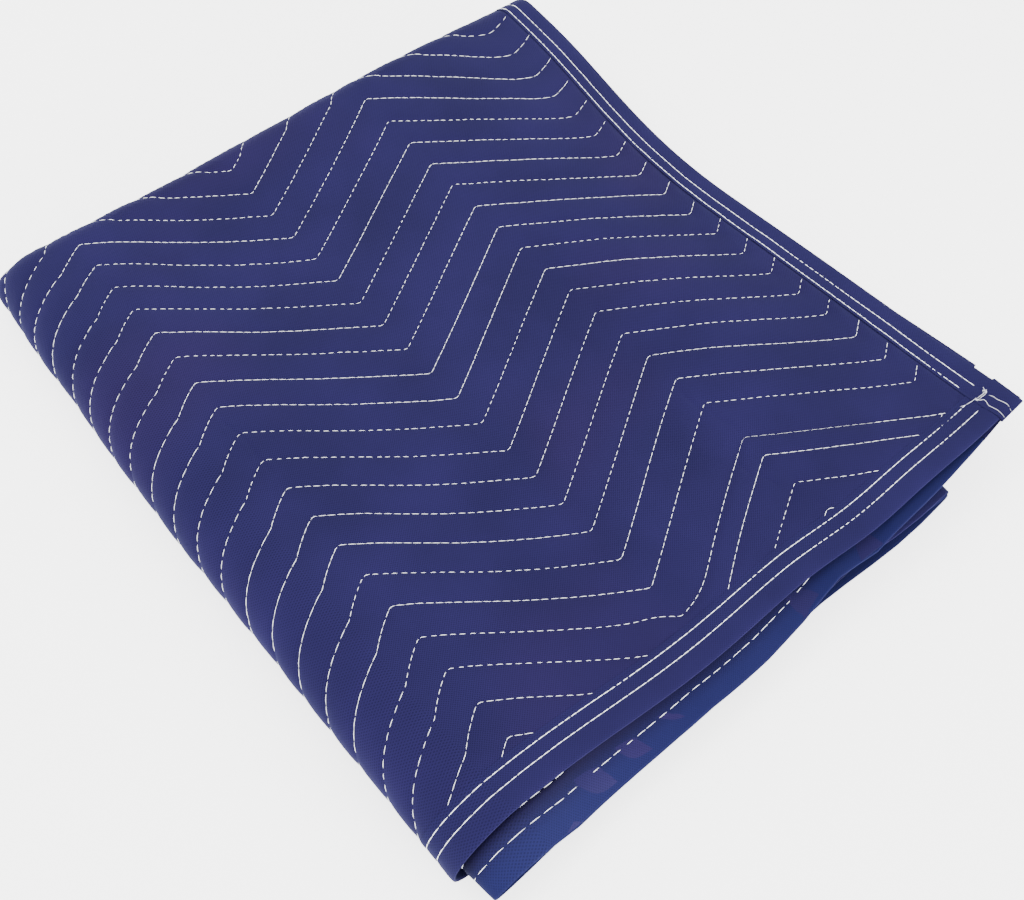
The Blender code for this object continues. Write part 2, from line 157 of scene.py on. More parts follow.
KINK_RADIUS = 2.5 * MM  # a seam's corner is rounded over this much of it, each way
SEAM_WANDER = [{"size": 0.5 * MM, "every": (70 * MM, 1.0), "seed": 3}]
# One seam runs nearer to the front as far as a corner, which is rounder, and is sewn from its end on
ODD_SEAM = {"row": 19, "rows": 0.4, "forward": 8.5 * MM, "from": 250 * MM, "to": 300 * MM, "end": 47 * MM}
ODD_CORNER = {"across": 290 * MM, "reach": 15 * MM, "lift": 3.5 * MM}
# Towards the left fold the peaks lie further out and back, and past them the seams come forward
PEAK_SLIP = {"across": 405 * MM, "reach": 50 * MM, "size": 4 * MM}
PEAK_LIFT = {"across": 400 * MM, "reach": 45 * MM, "size": 5.5 * MM}
LEFT_SLIP = {"from": 415 * MM, "to": 462 * MM, "size": 13 * MM}

# Short creases pressed into the top ply: their ends and bends, in mm across and along
CREASES = [
    [(412.5, 298), (409, 282), (410, 255)],
    [(167.5, 143), (167, 129)],
    [(164, 118), (159.5, 105)],
    [(179, 85), (178, 74)],
    [(175, 70), (171, 60)],
]
CREASE_SPANS = [(156, 182), (405, 416)]  # where they run, in mm across
CREASE_DEPTH = 0.55 * MM
CREASE_WIDTH = 1.5 * MM

ROW_OFFSETS = [0, 0.03, 0.09, 0.2, 0.35, 0.5, 0.65, 0.8, 0.91, 0.97]  # mesh rows between two seams
FINE_STEP = 2.6 * MM  # between the mesh's columns
CREASE_STEP = 1.3 * MM  # the same where a crease runs
COARSE_STEP = 9 * MM  # and under the pile
SAME_PLACE = 1e-9  # points nearer than this are one point

ROW_INNER = 0.85 * INCH  # the tape's two rows of stitches, from the cloth's edge
ROW_OUTER = 0.51 * INCH
ROW_MIDDLE = (ROW_OUTER + ROW_INNER) / 2
GROOVE = 0.8 * MM  # half the width of the groove in which a row lies
CREST_OUTER, CREST_INNER = ROW_OUTER - 2.6 * MM, ROW_INNER + 2.4 * MM
TAPE_PUFF = 0.4 * MM
# The tape's face: places in from the cloth's edge, and their heights in shares of TAPE_PUFF
TAPE_PROFILE = [
    (-WRAP, -0.9), (0.3 * MM, -0.3), (2 * MM, 0.4), (5 * MM, 0.9), (CREST_OUTER, 1.0),
    (ROW_OUTER - GROOVE, 0.3), (ROW_OUTER, -0.1), (ROW_OUTER + GROOVE, 0.3), (ROW_MIDDLE, 0.9),
    (ROW_INNER - GROOVE, 0.3), (ROW_INNER, -0.1), (ROW_INNER + GROOVE, 0.3),
    (CREST_INNER, 0.8), (BIND_WIDTH, 0.6),
]
# The lines of the tape's mesh, from its own edge to the cloth's edge
TAPE_LINES = [
    BIND_WIDTH, BIND_WIDTH - 1 * MM, CREST_INNER, ROW_INNER + GROOVE, ROW_INNER, ROW_INNER - GROOVE,
    ROW_MIDDLE + 1.5 * MM, ROW_MIDDLE - 1.5 * MM, ROW_OUTER + GROOVE, ROW_OUTER, ROW_OUTER - GROOVE,
    CREST_OUTER, 8 * MM, 5 * MM, 2 * MM, 0.8 * MM, 0.1 * MM,
]
TAPE_TURN, TURN_SHARE = -0.4 * MM, 0.3  # a place on the tape's turn, and its share of the relief
TAPE_REVERSE = 0.25  # share of the relief on the reverse, where the next ply lies close
TAPE_RIPPLES = [
    {"size": 0.10 * MM, "every": (6 * MM, 5 * MM), "seed": 21},
    {"size": 0.22 * MM, "every": (13 * MM, 8 * MM), "seed": 22},
    {"size": 0.30 * MM, "every": (34 * MM, 20 * MM), "seed": 23},
]
RIPPLE_MARGIN = 4 * MM  # the ripples fade to nothing over this much at the edge
TAPE_STEP, HIDDEN_TAPE_STEP = 3 * MM, 12 * MM
TAPE_LAP = 1.6 * MM  # the front tape laps over the cloth by this much, where its edge is pressed flat
LAP_HEIGHTS = (0.02 * MM, 0.08 * MM)
TAPE_END = 3 * MM  # the right tape's cut end reaches past the front edge by this much
FLAP_LENGTH = 21 * MM  # its folded end, which stands out at the back and is drawn in at the front
FLAP_OUT, FLAP_IN, FLAP_STEP = 1.9 * MM, 1.2 * MM, 1 * MM
EDGE_LIFT = 2 * MM  # the top ply's front edge stands off the hem under it
EDGE_LIFT_REACH = 14 * MM

STITCH_PITCH = 5.4 * MM
STITCH_GAP = 0.34  # share of the pitch between two stitches, where they are furthest apart
STITCH_RADIUS = 0.16 * MM
STITCH_SLACK = [{"size": 0.9, "every": (120 * MM, 1 / 1.7), "seed": 31}]  # how the gaps vary
SEAM_CLEAR = BIND_WIDTH + 0.5 * MM  # the seams end this far from the cloth's edge
FAINT_SEAM = {"row": 19, "low": 86 * MM, "high": 170 * MM, "radius": 0.07 * MM}  # thread sunk into the cloth
TAPE_STITCH_PITCH = 4.6 * MM
TAPE_STITCH_GAP = -0.12  # these overlap
TAPE_STITCH_RADIUS = 0.23 * MM
HEM_STITCH_PITCH = 8.8 * MM
HEM_STITCH_GAP = 0.21
HEM_STITCH_RADIUS = 0.19 * MM
TAPE_ROWS = [(ROW_INNER, 31 * MM), (ROW_OUTER, 26 * MM)]  # the rows, and where they start on the right tape
FRONT_ROW_START = BIND_WIDTH + 4 * MM
SEWN_SHARE = 0.9  # share of the back fold's turn that has stitches
LEFT_SPLIT = 0.5  # share of the left fold's turn at which the stitches underneath begin
PATH_STEP = 1 * MM  # between the points of the lines that are cut into stitches
STITCH_SAMPLES = 4
GAP_VARIATION = 0.4  # share of a gap by which it varies
STITCH_JITTER, START_SPREAD = 0.06, 0.5  # shares of the pitch by which stitches and rows are offset
STITCH_RISE, STITCH_SINK = 0.55, 1.1  # in radii: how high its middle is, and how much lower its ends
STITCH_TAPER = 0.75

# Loose threads, in mm across and along: two tails off the corner, two strands between them, the
# knot's long tail, the knot, and one seam's cut end
LOOSE_THREADS = [
    [(12.5, 19), (13, 15.5), (12.3, 13), (12.6, 9.8), (12.3, 7.5), (11.7, 4), (12.2, 1), (14.4, -2.6)],
    [(21.5, 19.8), (20.7, 17.5), (18.8, 15.8), (19, 13.8), (20.7, 10.5), (20.5, 7), (20.4, 3), (21.8, -2.6)],
    [(9.8, 22.5), (11.5, 20), (12.8, 18.8), (16, 19), (21.5, 19.5)],
    [(10, 19.5), (12.8, 17.8), (18.4, 18), (22, 18.8), (20.8, 20.8)],
    [(22.3, 17.6), (21.3, 19.8), (25.5, 20.5), (30.2, 21.6), (35, 23.2)],
    [(11.8, 21), (13.6, 19.6), (12, 18.4), (11.2, 19.8), (13.2, 20.4), (13.4, 18)],
    [(49.2, 29), (48.6, 27.6), (49.8, 26.6), (51.8, 26.4)],
]
LOOSE_RADIUS = 0.11 * MM
LOOSE_SAMPLES = 36

# The blues of each cloth: its darker mottles, its lighter ones and its worn patches
FACE_BLUES = (0.0088, 0.0066, 0.0380), (0.0112, 0.0080, 0.0470), (0.0145, 0.0072, 0.0400)
TAPE_BLUES = (0.0092, 0.0072, 0.0410), (0.0116, 0.0088, 0.0500), (0.0112, 0.0078, 0.0450)
# The hem tape's blues are a darker copy of the tape's: painted shade, where the hem lies under the top ply's
# edge.
HEM_PAINTED_SHADE_BLUES = (0.0038, 0.0022, 0.0150), (0.0048, 0.0028, 0.0185), (0.0045, 0.0026, 0.0170)
# The lighter, bluer colour to which the hem tape turns near its edge: painted light on the part of the hem
# that faces the front.
HEM_PAINTED_LIGHT_BLUE = (0.0062, 0.0068, 0.0430)
HEM_PAINTED_LIGHT_EDGE = 5 * MM  # the hem has this painted light's blue this far from its edge
SHEEN_BLUE = (0.35, 0.5, 1.0)
MOTTLE_SCALE, PATCH_SCALE, FIBRE_SCALE = 14, 4.5, 2600
PATCH_STRENGTH = 0.55
WEAVE_PITCH = 1.25 * MM
WEAVE_DARK, WEAVE_LIGHT = (0.66, 0.66, 0.70), (1.30, 1.30, 1.27)  # factors of the blue
THREAD_DARK, THREAD_LIGHT = (0.90, 0.92, 0.97), (0.97, 0.98, 1.0)
THREAD_GRAIN = 2200
THREAD_GLOW, THREAD_GLOW_TINT = 0.9, (0.95, 0.97, 1.0)
FLOOR_GLOW = 2.6


# ---------------------------------------------------------------- easing and noise

def smooth(value):
    """Ease from 0 to 1 as value goes from 0 to 1."""
    value = np.clip(value, 0, 1)
    return value * value * (3 - 2 * value)


def ease(value, start, stop):
    """Ease from 0 to 1 as value goes from start to stop."""
    return smooth((value - start) / (stop - start))


def bell(value, middle, reach):
    """A soft bump: 1 in the middle, and next to nothing at twice the reach from it."""
    return np.exp(-(((value - middle) / reach) ** 2))


def value_noise(x, y, seed, size=64):
    """Soft noise between -1 and 1, with one random value at each whole x and y."""
    table = np.random.default_rng(seed).uniform(-1, 1, (size, size))
    column, row = np.floor(x).astype(int), np.floor(y).astype(int)
    u, v = smooth(x - column), smooth(y - row)

    def corner(i, j):
        return table[(column + i) % size, (row + j) % size]

    low = corner(0, 0) * (1 - u) + corner(1, 0) * u
    high = corner(0, 1) * (1 - u) + corner(1, 1) * u
    return low * (1 - v) + high * v


def soft_noise(kinds, x, y):
    """The sum of the listed noises at x and y."""
    total = 0
    for kind in kinds:
        every_x, every_y = kind["every"]
        total = total + kind["size"] * value_noise(x / every_x, y / every_y, kind["seed"])
    return total


# ---------------------------------------------------------------- the folds

def half_ellipse(wide, high):
    """Length of half an ellipse's outline, by Ramanujan's formula."""
    return math.pi / 2 * (3 * (wide + high) - math.sqrt((3 * wide + high) * (wide + 3 * high)))


class Fold:
    """A bend that turns the cloth past a line under the stack."""

    def __init__(self, axis, side, layers, reach, steps):
        self.axis = axis
        self.side = side
        self.reach = reach
        self.steps = steps
        self.depth = layers * PITCH
        self.centre = TOP_MID + PITCH / 2 - self.depth
        self.length = half_ellipse(reach + self.depth / 2, self.depth / 2)
        self.line = 0.0

    def extent(self):
        """How far the outermost face reaches past the line."""
        return self.depth - GAP / 2 + self.reach

    def bend(self, points):
        """Turn the points that lie past the line."""
        past = self.side * (points[:, self.axis] - self.line)
        turned = past > 0
        radius = points[:, 2] - self.centre
        angle = math.pi * np.clip(past / self.length, 0, 1)
        out = (radius + self.reach) * np.sin(angle) - np.maximum(past - self.length, 0)
        points[:, self.axis] = np.where(turned, self.line + self.side * out, points[:, self.axis])
        points[:, 2] = np.where(turned, self.centre + radius * np.cos(angle), points[:, 2])


FIRST = Fold(axis=1, side=1, layers=1, reach=2 * MM, steps=6)
SECOND = Fold(axis=0, side=-1, layers=2, reach=3 * MM, steps=8)
THIRD = Fold(axis=1, side=1, layers=4, reach=8 * MM, steps=10)
FOURTH = Fold(axis=0, side=-1, layers=8, reach=20 * MM, steps=16)

EDGE_X = RIGHT - WRAP
FOURTH.line = LEFT + FOURTH.extent()
TOP_ACROSS = EDGE_X - FOURTH.line
LEFT_END = TOP_ACROSS + FOURTH.length  # where the left fold's outer turn ends, across
INNER_ACROSS = (FLAT_ACROSS - 2 * TOP_ACROSS - 2 * FOURTH.length - SECOND.length) / 2
SECOND_START = LEFT_END + INNER_ACROSS
SECOND.line = FOURTH.line - FOURTH.length - INNER_ACROSS

EDGE_Y = FRONT + EDGE_OVERHANG
THIRD.line = BACK - THIRD.extent()
TOP_ALONG = THIRD.line - EDGE_Y
BACK_END = TOP_ALONG + THIRD.length  # where the back fold's outer turn ends, along
LAST_ALONG = THIRD.line - FRONT - WRAP
INNER_ALONG = (FLAT_ALONG - TOP_ALONG - LAST_ALONG - 2 * THIRD.length - FIRST.length) / 2
FIRST.line = THIRD.line + THIRD.length + INNER_ALONG

# The ply that goes round the others at the left ends half way into these folds
OUTER_ACROSS = SECOND_START + SECOND.length / 2
OUTER_ALONG = TOP_ALONG + THIRD.length / 2

SEWN_ALONG = TOP_ALONG + THIRD.length * SEWN_SHARE
PEAK_ALONG = QUILT_Y - EDGE_Y  # where row 0 of the quilting would have its peaks


def shift(mid, level, right, back, outermost):
    """How far points lie to the right and to the back of the ideal fold.

    The third result is the part of the first with which the hills and hollows move.
    """
    left = 1 - right
    pinch = PINCH_DEPTH * right**3 * bell(mid[:, 1], PINCH_Y, PINCH_LENGTH)
    corner = ease(right, 0.3, 1) * (1 - ease(back, 0, 0.5))
    group = np.searchsorted([-group["above"] for group in CORNERS], -level)
    inset = np.array([group["left"] for group in CORNERS])[group] * corner
    forward = np.array([group["forward"] for group in CORNERS])[group] * corner
    front = 1 - ease(back, 0, 0.3)
    bulge = TOP_BULGE * bell(mid[:, 0], BULGE_X, BULGE_REACH) * front
    retreat = FRONT_RETREAT * ease(right, 0, LEFT_THIRD) * front
    forward += np.where(level > TOP_LEVEL, bulge, 0)
    forward -= np.where((level > HALF_LEVEL) & (level < RETREAT_LEVEL), retreat, 0)
    flare = FLARE * ease(right, FLARE_START, FLARE_END) * ease(back, 0.5, 1)
    tuck = CORNER_TUCK * left**4 * ease(back, 0.75, 1)
    drawn = np.where(outermost, 0, INNER_TUCK * left**2 * (1 - ease(back, 0, 0.4)))
    bow = np.interp(back, BOW_BACK, BOW_OUT) * left**3
    tilt = LEFT_TILT * left**2 * (1 - back) ** 1.5
    lean = LEFT_LEAN * left**8 * (level - LEAN_LEVEL)
    pulled = drawn - pinch - inset
    wave = WAVE_DEPTH * (1 - ease(back, 0, 1)) * np.sin(2 * math.pi * mid[:, 0] / WAVE_LENGTH)
    swell = (BACK_SWELL_LEFT * left + BACK_SWELL_RIGHT * right) * ease(back, 0.85, 1)
    return pulled + flare + tuck + lean - bow - tilt, wave + swell - forward, pulled


def rise(right, back):
    """How far the top of the stack lies over the ideal fold, at shares of the way right and back."""
    front_rise = CORNER_RISE["front left"] * (1 - right) + CORNER_RISE["front right"] * right
    back_rise = CORNER_RISE["back left"] * (1 - right) + CORNER_RISE["back right"] * right
    height = front_rise * (1 - back) + back_rise * back
    mid_across, mid_along = 4 * right * (1 - right), 4 * back * (1 - back)
    height -= mid_along * (DISH_DEPTH * mid_across + RIGHT_SAG * right**2 - LEFT_SWELL * (1 - right) ** 2)
    height -= FRONT_SAG * mid_across * (1 - back) ** 2
    x, y = LEFT + right * FOLDED_ACROSS, EDGE_Y + back * (BACK - EDGE_Y)
    for hill in HILLS:
        (middle_x, middle_y), (reach_x, reach_y) = hill["middle"], hill["reach"]
        height += hill["height"] * bell(x, middle_x, reach_x) * bell(y, middle_y, reach_y)
    return np.maximum(height, 0)


def unevenness(mid, outermost):
    """How far real cloth lies from the ideal fold, at points of the plies' middle surfaces.

    outermost says which points are on the ply that goes round the others at the left.
    """
    level = (mid[:, 2] - BOTTOM_MID) / (TOP_MID - BOTTOM_MID)
    right = np.clip((mid[:, 0] - LEFT) / FOLDED_ACROSS, 0, 1)
    back = np.clip((mid[:, 1] - EDGE_Y) / (BACK - EDGE_Y), 0, 1)
    aside, backward, pulled = shift(mid, level, right, back, outermost)
    upward = level * rise(right + pulled / FOLDED_ACROSS, back) + TOP_LIFT * ease(level, TOP_LEVEL, 1)
    return np.stack([aside, backward, upward], axis=1)


def folded(across, along, height):
    """Points of the cloth after the four bends; height is counted from the ply's middle."""
    points = np.stack([EDGE_X - across, EDGE_Y + along, TOP_MID + height], axis=1)
    for fold in (FIRST, SECOND, THIRD, FOURTH):
        fold.bend(points)
    return points


def place(across, along, height):
    """The final places of points of the flat cloth."""
    skew = np.clip((along - (FLAT_ALONG - FULL_START - SKEW_REACH)) / SKEW_REACH, 0, 1)
    cut = np.interp(across / FLAT_ACROSS, SKEW_ACROSS, SKEW_CUT)
    skewed = along - skew * cut
    mid = folded(across, skewed, np.zeros_like(across))
    right = np.clip((mid[:, 0] - LEFT) / FOLDED_ACROSS, 0, 1)
    reach = HEM_REACH_LEFT + (HEM_REACH - HEM_REACH_LEFT) * ease(right, 0, LEFT_THIRD)
    hem = np.maximum(1 - (FLAT_ALONG - along) / reach, 0) * np.maximum(1 - cut / HEM_DROP_END, 0)
    outermost = (across < OUTER_ACROSS) & (along < OUTER_ALONG)
    points = folded(across, skewed, height) + unevenness(mid, outermost) + np.array(FOOTPRINT_SHIFT)
    points[:, 0] += HEM_TUCK * hem * (1 - right) ** 2
    points[:, 2] += EDGE_LIFT * bell(along, 0, EDGE_LIFT_REACH) * (1 - ease(across, TOP_ACROSS, LEFT_END))
    points[:, 2] -= HEM_DROP * hem * (mid[:, 2] - BOTTOM_MID) / (TOP_MID - BOTTOM_MID)
    return points


# ---------------------------------------------------------------- relief of the quilted face

def zigzag(across):
    """0 at a column of peaks and 1 at a column of valleys, with the kinks rounded."""
    turn = (EDGE_X - across - QUILT_X) / QUILT_PERIOD
    away = np.abs(turn - np.round(turn))  # from the nearest peak, in periods
    near = np.minimum(away, 0.5 - away)  # from the nearest kink
    rounding = KINK_RADIUS / QUILT_PERIOD
    soft = np.maximum(rounding - near, 0) ** 2 / (2 * rounding)
    return 2 * (away + np.where(away < 0.25, soft, -soft))


def seam_along(across, row):
    """Where row, counted in seams and parts of a seam, runs on the flat cloth."""
    odd = ODD_CORNER["lift"] * bell(across, ODD_CORNER["across"], ODD_CORNER["reach"])
    odd = odd - ODD_SEAM["forward"] * (1 - ease(across, ODD_SEAM["from"], ODD_SEAM["to"]))
    wander = soft_noise(SEAM_WANDER, across, row) + odd * bell(row, ODD_SEAM["row"], ODD_SEAM["rows"])
    wander = wander + PEAK_LIFT["size"] * bell(across, PEAK_LIFT["across"], PEAK_LIFT["reach"])
    share = np.clip((across - LEFT_SLIP["from"]) / (LEFT_SLIP["to"] - LEFT_SLIP["from"]), 0, 1)
    wander = wander - LEFT_SLIP["size"] * share**2
    slip = PEAK_SLIP["size"] * bell(across, PEAK_SLIP["across"], PEAK_SLIP["reach"])
    return PEAK_ALONG - row * QUILT_SPACING - QUILT_RISE * zigzag(across - slip) + wander


def row_of(across, along):
    """The row that runs through points of the flat cloth, near enough for the relief."""
    return (PEAK_ALONG - along - QUILT_RISE * zigzag(across)) / QUILT_SPACING


def rows_between(low, high):
    """The first and last whole row that can lie between two places along."""
    first = math.floor((PEAK_ALONG - high - QUILT_RISE) / QUILT_SPACING)
    return first, math.ceil((PEAK_ALONG - low) / QUILT_SPACING)


def padding(across, along, row):
    """Height of the puffs between two seams, with the gathers that the stitches draw up."""
    between = 1 - np.abs(2 * (row - np.floor(row)) - 1)  # 0 on a seam and 1 half way between two
    crest = PUFF_HEIGHT * (1 + soft_noise(PUFF_VARIATION, across, row))
    puffs = -SEAM_DEPTH + (SEAM_DEPTH + crest) * (1 - (1 - between) ** 3)
    gathers = soft_noise(GATHERS, across, row) * np.exp(-between / GATHER_REACH)
    return puffs + gathers + soft_noise(PADDING, across, along)


def creases(across, along):
    """Depth of the short creases."""
    spots = np.stack([across, along], axis=1)
    depth = np.zeros_like(across)
    for stops in CREASES:
        stops = np.array(stops) * MM
        for start, end in zip(stops, stops[1:]):
            run, off = end - start, spots - start
            share = np.clip(off @ run / (run @ run), 0, 1)
            away = np.linalg.norm(off - share[:, None] * run, axis=1)
            depth = np.maximum(depth, CREASE_DEPTH * bell(away, 0, CREASE_WIDTH))
    return depth


def relief(across, along, row):
    """Height of the outer face above the plain ply, at points of the flat cloth."""
    height = padding(across, along, row) - creases(across, along)
    pressed = np.minimum(height - PRESSED_LEVEL, 0) * PRESSED_SHARE
    under = ease(across, TOP_ACROSS, LEFT_END)
    fade = ease(np.minimum(across, along) - FULL_START, 0, RELIEF_MARGIN)
    fade *= 1 - ease(along, TOP_ALONG, BACK_END)
    fade *= 1 - ease(across, SECOND_START - RELIEF_END, SECOND_START)
    return fade * (height * (1 - under) + pressed * under)


# ---------------------------------------------------------------- mesh tools

def add_to_scene(name, data):
    thing = bpy.data.objects.new(name, data)
    bpy.context.scene.collection.objects.link(thing)
    return thing


def make_object(name, points, faces, material, flat=None, sharp=50):
    """A named mesh object from points and faces, with the flat places as its UV map."""
    data = bpy.data.meshes.new(name)
    data.from_pydata([tuple(p) for p in points], [], faces)
    if flat is not None:
        corner = np.zeros(len(data.loops), np.int32)
        data.loops.foreach_get("vertex_index", corner)
        layer = data.uv_layers.new(name="flat")
        layer.uv.foreach_set("vector", np.asarray(flat, np.float32)[corner].ravel())
    data.materials.append(material)
    data.shade_smooth()
    data.set_sharp_from_angle(angle=math.radians(sharp))
    return add_to_scene(name, data)


def stations(top, outer, inner, tip, last, panel_steps):
    """Places of the coarse mesh lines from edge to edge. Plies that face each other share them."""
    rungs = [inner * n / panel_steps for n in range(1, panel_steps)]
    places = [0.0, HINGE, THIN_END, FULL_START]
    places += [top - rung for rung in reversed(rungs)] + [top]

    def bend(fold):
        start = places[-1]
        places.extend(start + fold.length * n / fold.steps for n in range(1, fold.steps + 1))

    def panel(rungs_from_start):
        start = places[-1]
        places.extend(start + rung for rung in rungs_from_start)

    bend(outer)
    panel(rungs + [inner])
    bend(tip)
    panel([inner - rung for rung in reversed(rungs)] + [inner])
    bend(outer)
    panel(rungs + [last - FULL_START, last - THIN_END, last - HINGE, last])
    return places


PANEL_STEPS = 14
EDGE_LINES = 3  # coarse lines in the thinned part at each edge
ACROSS = stations(TOP_ACROSS, FOURTH, INNER_ACROSS, SECOND, TOP_ACROSS, PANEL_STEPS)
ALONG = stations(TOP_ALONG, THIRD, INNER_ALONG, FIRST, LAST_ALONG, PANEL_STEPS)
ACROSS_FINE_END = EDGE_LINES + PANEL_STEPS + FOURTH.steps + PANEL_STEPS
ALONG_FINE_END = EDGE_LINES + PANEL_STEPS + THIRD.steps


def denser(places, step_at):
    """The places again, with more of them between each two; step_at gives the step from a place on."""
    result = [places[0]]
    for start, stop in zip(places, places[1:]):
        count = math.ceil((stop - start) / step_at(start, stop))
        result += [start + (stop - start) * n / count for n in range(1, count + 1)]
    return result


def zip_chains(near, far):
    """Triangles between two chains of (place, point number), both sorted by place."""
    triangles = []
    i = j = 0
    while i < len(near) - 1 or j < len(far) - 1:
        step_near = j == len(far) - 1 or (i < len(near) - 1 and near[i + 1][0] <= far[j + 1][0])
        if step_near:
            triangles.append((near[i][1], near[i + 1][1], far[j][1]))
            i += 1
        else:
            triangles.append((near[i][1], far[j + 1][1], far[j][1]))
            j += 1
    return triangles


# ---------------------------------------------------------------- the quilted cloth

def half_thickness(across, along):
    """Half the cloth's thickness: it is thinned inside the binding."""
    edge = np.minimum(np.minimum(across, FLAT_ACROSS - across), np.minimum(along, FLAT_ALONG - along))
    return np.interp(edge, [THIN_END, FULL_START], [TONGUE / 2, PLY / 2])


def fine_columns():
    """Places across of the fine mesh's columns, with one on each column of kinks."""
    low, high = ACROSS[EDGE_LINES], ACROSS[ACROSS_FINE_END]
    half = QUILT_PERIOD / 2
    first_kink = (EDGE_X - QUILT_X) % half
    kinks = [first_kink + half * n for n in range(int(high / half) + 1)]
    spans = [(start * MM, stop * MM) for start, stop in CREASE_SPANS]
    places = [low, LEFT_END, high] + [kink for kink in kinks if low < kink < high]
    places += [end for span in spans for end in span]

    def step_at(start, _):
        if any(first <= start < last for first, last in spans):
            return CREASE_STEP
        return FINE_STEP if start < LEFT_END else COARSE_STEP

    return denser(sorted(places), step_at)


def fine_patch():
    """The fine part of the outer face, on rows that follow the zigzag and end at its borders.

    Gives the points' places and rows, which of them are points of their own, and their numbers.
    """
    low, high = ALONG[EDGE_LINES], ALONG[ALONG_FINE_END]
    first, last = rows_between(low, high)
    rows = [whole + part for whole in range(last, first - 1, -1) for part in reversed(ROW_OFFSETS)]
    across, row = np.meshgrid(fine_columns(), rows, indexing="ij")
    along = np.clip(seam_along(across, row), low, high)
    own = np.ones(along.shape, bool)
    own[:, 1:] = np.diff(along, axis=1) > SAME_PLACE
    number = (np.cumsum(own.ravel()) - 1).reshape(own.shape)
    return across, along, row, own, number


def patch_faces(number):
    """The fine patch's faces, without those whose corners fall together."""
    faces = []
    for near, far in zip(number.tolist(), number[1:].tolist()):
        for corners in zip(near, far, far[1:], near[1:]):
            corners = tuple(dict.fromkeys(corners))
            if len(corners) > 2:
                faces.append(corners)
    return faces


def coarse_faces(outer, inner):
    """Faces of both coarse grids. The outer one leaves out the fine patch and the cells next to it."""
    fine_across, fine_along = range(EDGE_LINES, ACROSS_FINE_END), range(EDGE_LINES, ALONG_FINE_END)
    faces = []
    for i in range(len(ACROSS) - 1):
        for j in range(len(ALONG) - 1):
            cell = ((i, j), (i + 1, j), (i + 1, j + 1), (i, j + 1))
            faces.append(tuple(int(inner[corner]) for corner in reversed(cell)))
            beside_across = i in (EDGE_LINES - 1, ACROSS_FINE_END) and j in fine_along
            beside_along = j in (EDGE_LINES - 1, ALONG_FINE_END) and i in fine_across
            if not (beside_across or beside_along or (i in fine_across and j in fine_along)):
                faces.append(tuple(int(outer[corner]) for corner in cell))
    return faces


def joining_faces(outer, across, along, own, number):
    """Triangles that join the fine patch to the coarse grid round it."""

    def patch_column(n):
        return [(along[n, j], int(number[n, j])) for j in np.flatnonzero(own[n])]

    def patch_row(n):
        return list(zip(across[:, n].tolist(), number[:, n].tolist()))

    def coarse_column(i):
        return [(ALONG[j], int(outer[i, j])) for j in range(EDGE_LINES, ALONG_FINE_END + 1)]

    def coarse_row(j):
        return [(ACROSS[i], int(outer[i, j])) for i in range(EDGE_LINES, ACROSS_FINE_END + 1)]

    faces = zip_chains(patch_column(0), coarse_column(EDGE_LINES - 1))
    faces += zip_chains(coarse_column(ACROSS_FINE_END + 1), patch_column(-1))
    faces += zip_chains(coarse_row(EDGE_LINES - 1), patch_row(0))
    return faces + zip_chains(patch_row(-1), coarse_row(ALONG_FINE_END + 1))


def rim_faces(outer, inner):
    """The cloth's edge, all the way round."""
    last_i, last_j = len(ACROSS) - 1, len(ALONG) - 1
    rim = [(i, 0) for i in range(last_i)] + [(last_i, j) for j in range(last_j)]
    rim += [(i, last_j) for i in range(last_i, 0, -1)] + [(0, j) for j in range(last_j, 0, -1)]
    return [tuple(int(n) for n in (outer[here], inner[here], inner[there], outer[there]))
            for here, there in zip(rim, rim[1:] + rim[:1])]


def make_quilt(material):
    """The cloth: a plain inner face, and an outer face with every seam and puff where it can be seen."""
    across, along, row, own, number = fine_patch()
    fine = int(own.sum())

    # The coarse grids of both faces; where the fine patch lies, the outer one has only its corners
    shape = (len(ACROSS), len(ALONG))
    grid = np.stack(np.meshgrid(ACROSS, ALONG, indexing="ij"), axis=2)
    plain = np.ones(shape, bool)
    plain[EDGE_LINES:ACROSS_FINE_END + 1, EDGE_LINES:ALONG_FINE_END + 1] = False
    outer = np.full(shape, -1)
    outer[plain] = fine + np.arange(plain.sum())
    corners = np.ix_([EDGE_LINES, ACROSS_FINE_END], [EDGE_LINES, ALONG_FINE_END])
    outer[corners] = number[np.ix_([0, -1], [0, -1])]
    inner = fine + plain.sum() + np.arange(plain.size).reshape(shape)

    faces = patch_faces(number) + coarse_faces(outer, inner)
    faces += joining_faces(outer, across, along, own, number) + rim_faces(outer, inner)
    flat = np.concatenate([np.stack([across[own], along[own]], axis=1), grid[plain], grid.reshape(-1, 2)])
    height = half_thickness(flat[:, 0], flat[:, 1])
    height[-inner.size:] *= -1
    height[:fine] += relief(flat[:fine, 0], flat[:fine, 1], row[own])
    points = place(flat[:, 0], flat[:, 1], height)
    return make_object("quilt_cloth", points, faces, material, flat)


# ---------------------------------------------------------------- binding tape

def tape_relief(inward, stop):
    """Height of the tape's face over the plain ply: inward from the cloth's edge, and stop along it."""
    puffs = TAPE_PUFF * np.interp(inward, *zip(*TAPE_PROFILE))
    return puffs + soft_noise(TAPE_RIPPLES, stop, inward) * ease(inward, 0, RIPPLE_MARGIN)


